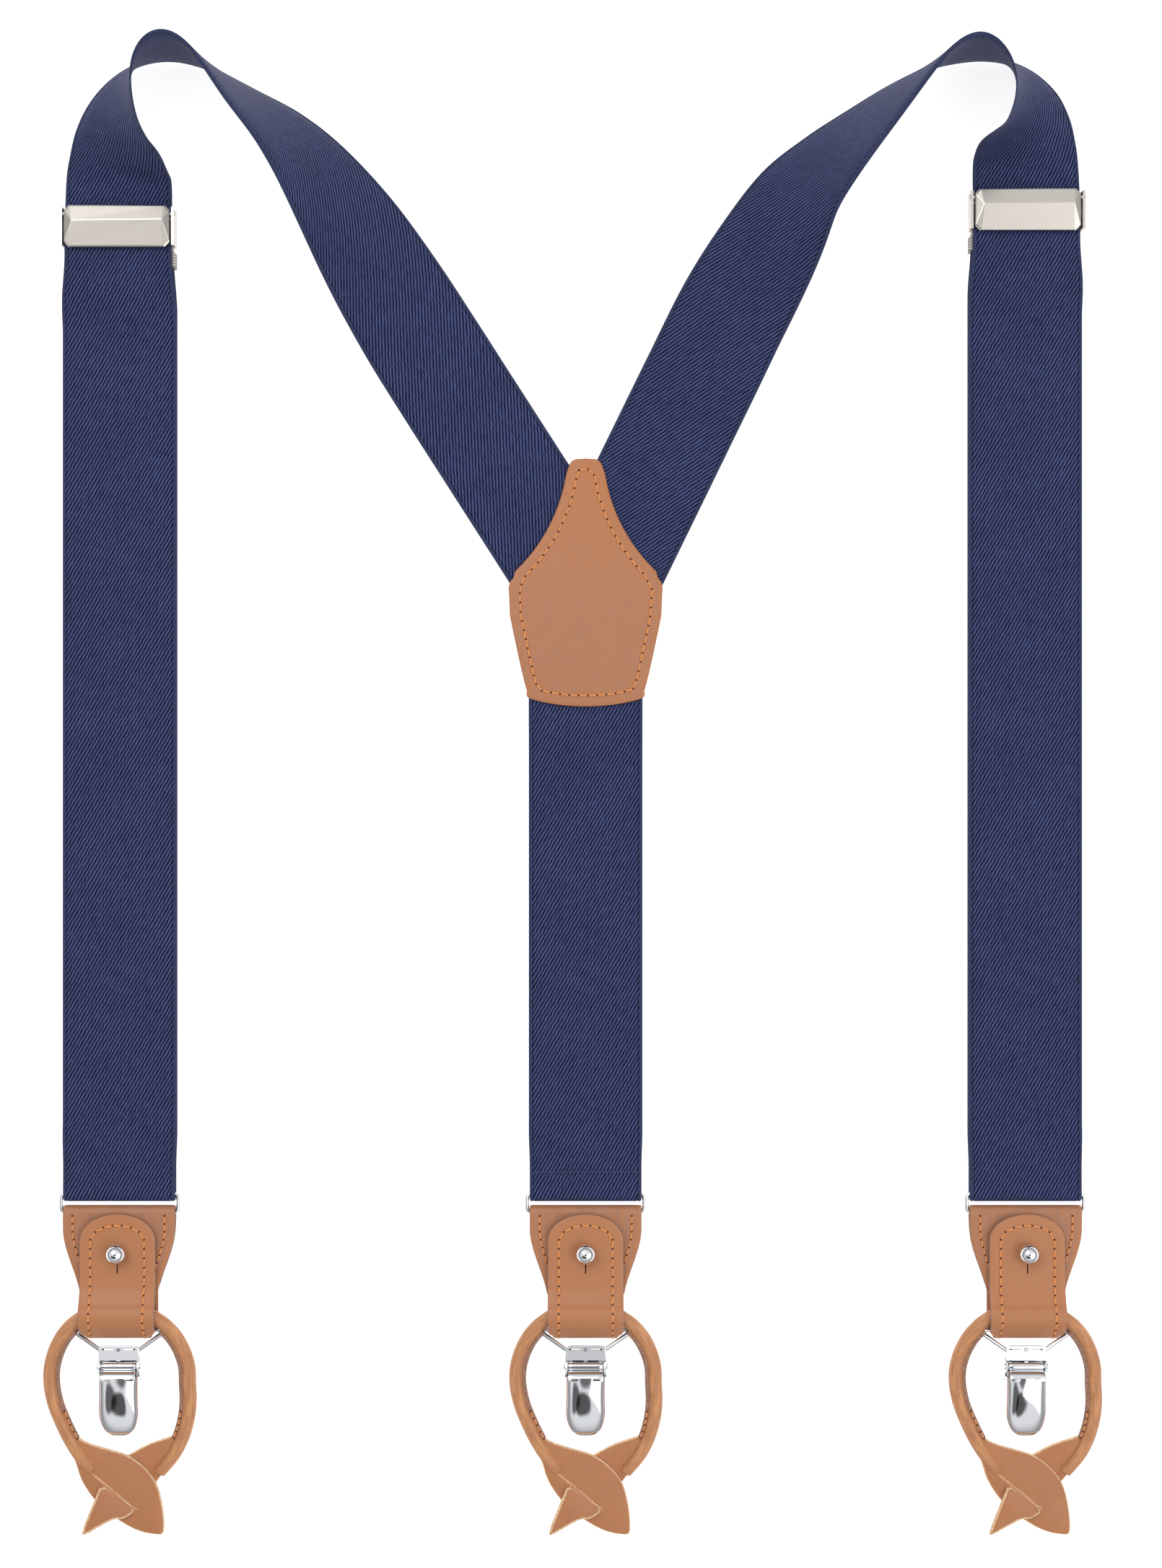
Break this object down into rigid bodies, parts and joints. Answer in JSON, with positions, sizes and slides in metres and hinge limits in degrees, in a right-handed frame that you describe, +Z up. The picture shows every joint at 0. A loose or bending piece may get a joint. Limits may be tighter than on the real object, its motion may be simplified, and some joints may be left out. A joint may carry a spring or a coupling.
{
  "type": "suspenders",
  "caption": "Y-back elastic suspenders with sliding adjusters, leather patch, and leather ends carrying both a swinging clip and a button loop.",
  "frame": {"origin": "on the table under the middle of the whole, laid flat with its faces up", "axes": "+Z up from the table, +Y towards the shoulder loops, +X to the right as seen from above"},
  "size_m": [0.3202, 0.4471, 0.0352],
  "materials": {
    "webbing": "matt twill elastic",
    "raw_webbing": "matt",
    "leather": "satin, fine grain",
    "rolled_leather": "satin, rolled",
    "nickel": "satin nickel",
    "chrome": "bright",
    "spring_steel": "bright",
    "pad": "matt"
  },
  "bodies": {
    "root": {"y_patch_front": "leather", "y_patch_back": "leather", "back_strap": "webbing", "left_shoulder_strap": "webbing", "right_shoulder_strap": "webbing", "left_front_run": "webbing", "right_front_run": "webbing", "left_rear_run": "webbing", "right_rear_run": "webbing"},
    "left_adjuster": {"left_adjuster_frame": "nickel", "left_adjuster_pins": "nickel", "left_sewn_end": "raw_webbing"},
    "left_adjuster_cover": {"left_adjuster_lever": "nickel"},
    "right_adjuster": {"right_adjuster_frame": "nickel", "right_adjuster_pins": "nickel", "right_sewn_end": "raw_webbing"},
    "right_adjuster_cover": {"right_adjuster_lever": "nickel"},
    "left_end": {"left_strap_fold": "webbing"},
    "left_ring_link": {"left_ring": "chrome"},
    "left_leather_tab": {"left_tab": "leather", "left_stud": "chrome", "left_clip_strap": "leather"},
    "left_loop": {"left_button_loop": "rolled_leather"},
    "left_flap_leg": {"left_flap": "leather"},
    "left_bail_link": {"left_bail": "chrome"},
    "left_clip": {"left_clip_frame": "chrome", "left_clip_spring": "spring_steel", "left_clip_pin": "chrome", "left_jaw_pad": "pad"},
    "left_lever": {"left_clip_lever": "chrome"},
    "right_end": {"right_strap_fold": "webbing"},
    "right_ring_link": {"right_ring": "chrome"},
    "right_leather_tab": {"right_tab": "leather", "right_stud": "chrome", "right_clip_strap": "leather"},
    "right_loop": {"right_button_loop": "rolled_leather"},
    "right_flap_leg": {"right_flap": "leather"},
    "right_bail_link": {"right_bail": "chrome"},
    "right_clip": {"right_clip_frame": "chrome", "right_clip_spring": "spring_steel", "right_clip_pin": "chrome", "right_jaw_pad": "pad"},
    "right_lever": {"right_clip_lever": "chrome"},
    "back_end": {"back_strap_fold": "webbing"},
    "back_ring_link": {"back_ring": "chrome"},
    "back_leather_tab": {"back_tab": "leather", "back_stud": "chrome", "back_clip_strap": "leather"},
    "back_loop": {"back_button_loop": "rolled_leather"},
    "back_flap_leg": {"back_flap": "leather"},
    "back_bail_link": {"back_bail": "chrome"},
    "back_clip": {"back_clip_frame": "chrome", "back_clip_spring": "spring_steel", "back_clip_pin": "chrome", "back_jaw_pad": "pad"},
    "back_lever": {"back_clip_lever": "chrome"}
  },
  "joints": [
    {"name": "left_adjuster_slide", "type": "slide", "parent": "root", "child": "left_adjuster", "axis": [0, -1, 0], "range_m": [0, 0.24], "deforming": ["left_front_run", "left_rear_run", "left_shoulder_strap"]},
    {"name": "left_adjuster_flip", "type": "hinge", "parent": "left_adjuster", "child": "left_adjuster_cover", "pos_m": [-0.137, 0.1748, 0.0064], "axis": [-1, 0, 0], "range_deg": [0, 70]},
    {"name": "right_adjuster_slide", "type": "slide", "parent": "root", "child": "right_adjuster", "axis": [0, -1, 0], "range_m": [0, 0.24], "deforming": ["right_front_run", "right_rear_run", "right_shoulder_strap"]},
    {"name": "right_adjuster_flip", "type": "hinge", "parent": "right_adjuster", "child": "right_adjuster_cover", "pos_m": [0.137, 0.1798, 0.0064], "axis": [-1, 0, 0], "range_deg": [0, 70]},
    {"name": "left_end_slide", "type": "slide", "parent": "root", "child": "left_end", "axis": [0, -1, 0], "range_m": [0, 0.12], "deforming": ["left_front_run", "left_rear_run"]},
    {"name": "left_ring_swing", "type": "hinge", "parent": "left_end", "child": "left_ring_link", "pos_m": [-0.137, -0.121, 0.0021], "axis": [-1, 0, 0], "range_deg": [-60, 60]},
    {"name": "left_tab_swing", "type": "hinge", "parent": "left_ring_link", "child": "left_leather_tab", "pos_m": [-0.137, -0.1263, 0.0021], "axis": [-1, 0, 0], "range_deg": [-60, 60]},
    {"name": "left_loop_swing", "type": "hinge", "parent": "left_leather_tab", "child": "left_loop", "pos_m": [-0.137, -0.157, 0.0049], "axis": [1, 0, 0], "range_deg": [-150, 90]},
    {"name": "left_flap_open", "type": "hinge", "parent": "left_leather_tab", "child": "left_flap_leg", "pos_m": [-0.137, -0.1619, 0.0025], "axis": [1, 0, 0], "range_deg": [0, 110], "deforming": ["left_flap"]},
    {"name": "left_bail_swing", "type": "hinge", "parent": "left_leather_tab", "child": "left_bail_link", "pos_m": [-0.137, -0.1619, 0.0025], "axis": [1, 0, 0], "range_deg": [-60, 60]},
    {"name": "left_clip_swing", "type": "hinge", "parent": "left_bail_link", "child": "left_clip", "pos_m": [-0.137, -0.168, 0.0025], "axis": [1, 0, 0], "range_deg": [-60, 60]},
    {"name": "left_lever_lift", "type": "hinge", "parent": "left_clip", "child": "left_lever", "pos_m": [-0.137, -0.1727, 0.0037], "axis": [-1, 0, 0], "range_deg": [0, 75]},
    {"name": "right_end_slide", "type": "slide", "parent": "root", "child": "right_end", "axis": [0, -1, 0], "range_m": [0, 0.12], "deforming": ["right_front_run", "right_rear_run"]},
    {"name": "right_ring_swing", "type": "hinge", "parent": "right_end", "child": "right_ring_link", "pos_m": [0.137, -0.121, 0.0021], "axis": [-1, 0, 0], "range_deg": [-60, 60]},
    {"name": "right_tab_swing", "type": "hinge", "parent": "right_ring_link", "child": "right_leather_tab", "pos_m": [0.137, -0.1263, 0.0021], "axis": [-1, 0, 0], "range_deg": [-60, 60]},
    {"name": "right_loop_swing", "type": "hinge", "parent": "right_leather_tab", "child": "right_loop", "pos_m": [0.137, -0.157, 0.0049], "axis": [1, 0, 0], "range_deg": [-150, 90]},
    {"name": "right_flap_open", "type": "hinge", "parent": "right_leather_tab", "child": "right_flap_leg", "pos_m": [0.137, -0.1619, 0.0025], "axis": [1, 0, 0], "range_deg": [0, 110], "deforming": ["right_flap"]},
    {"name": "right_bail_swing", "type": "hinge", "parent": "right_leather_tab", "child": "right_bail_link", "pos_m": [0.137, -0.1619, 0.0025], "axis": [1, 0, 0], "range_deg": [-60, 60]},
    {"name": "right_clip_swing", "type": "hinge", "parent": "right_bail_link", "child": "right_clip", "pos_m": [0.137, -0.168, 0.0025], "axis": [1, 0, 0], "range_deg": [-60, 60]},
    {"name": "right_lever_lift", "type": "hinge", "parent": "right_clip", "child": "right_lever", "pos_m": [0.137, -0.1727, 0.0037], "axis": [-1, 0, 0], "range_deg": [0, 75]},
    {"name": "back_strap_stretch", "type": "slide", "parent": "root", "child": "back_end", "axis": [0, -1, 0], "range_m": [0, 0.08], "stiffness_N_per_m": 300, "deforming": ["back_strap"]},
    {"name": "back_ring_swing", "type": "hinge", "parent": "back_end", "child": "back_ring_link", "pos_m": [0.004, -0.121, 0.0021], "axis": [-1, 0, 0], "range_deg": [-60, 60]},
    {"name": "back_tab_swing", "type": "hinge", "parent": "back_ring_link", "child": "back_leather_tab", "pos_m": [0.004, -0.1263, 0.0021], "axis": [-1, 0, 0], "range_deg": [-60, 60]},
    {"name": "back_loop_swing", "type": "hinge", "parent": "back_leather_tab", "child": "back_loop", "pos_m": [0.004, -0.157, 0.0049], "axis": [1, 0, 0], "range_deg": [-150, 90]},
    {"name": "back_flap_open", "type": "hinge", "parent": "back_leather_tab", "child": "back_flap_leg", "pos_m": [0.004, -0.1619, 0.0025], "axis": [1, 0, 0], "range_deg": [0, 110], "deforming": ["back_flap"]},
    {"name": "back_bail_swing", "type": "hinge", "parent": "back_leather_tab", "child": "back_bail_link", "pos_m": [0.004, -0.1619, 0.0025], "axis": [1, 0, 0], "range_deg": [-60, 60]},
    {"name": "back_clip_swing", "type": "hinge", "parent": "back_bail_link", "child": "back_clip", "pos_m": [0.004, -0.168, 0.0025], "axis": [1, 0, 0], "range_deg": [-60, 60]},
    {"name": "back_lever_lift", "type": "hinge", "parent": "back_clip", "child": "back_lever", "pos_m": [0.004, -0.1727, 0.0037], "axis": [-1, 0, 0], "range_deg": [0, 75]}
  ],
  "couplings": [
    {"joint": "left_end_slide", "follows": "left_adjuster_slide", "ratio": 0.5},
    {"joint": "right_end_slide", "follows": "right_adjuster_slide", "ratio": 0.5}
  ]
}
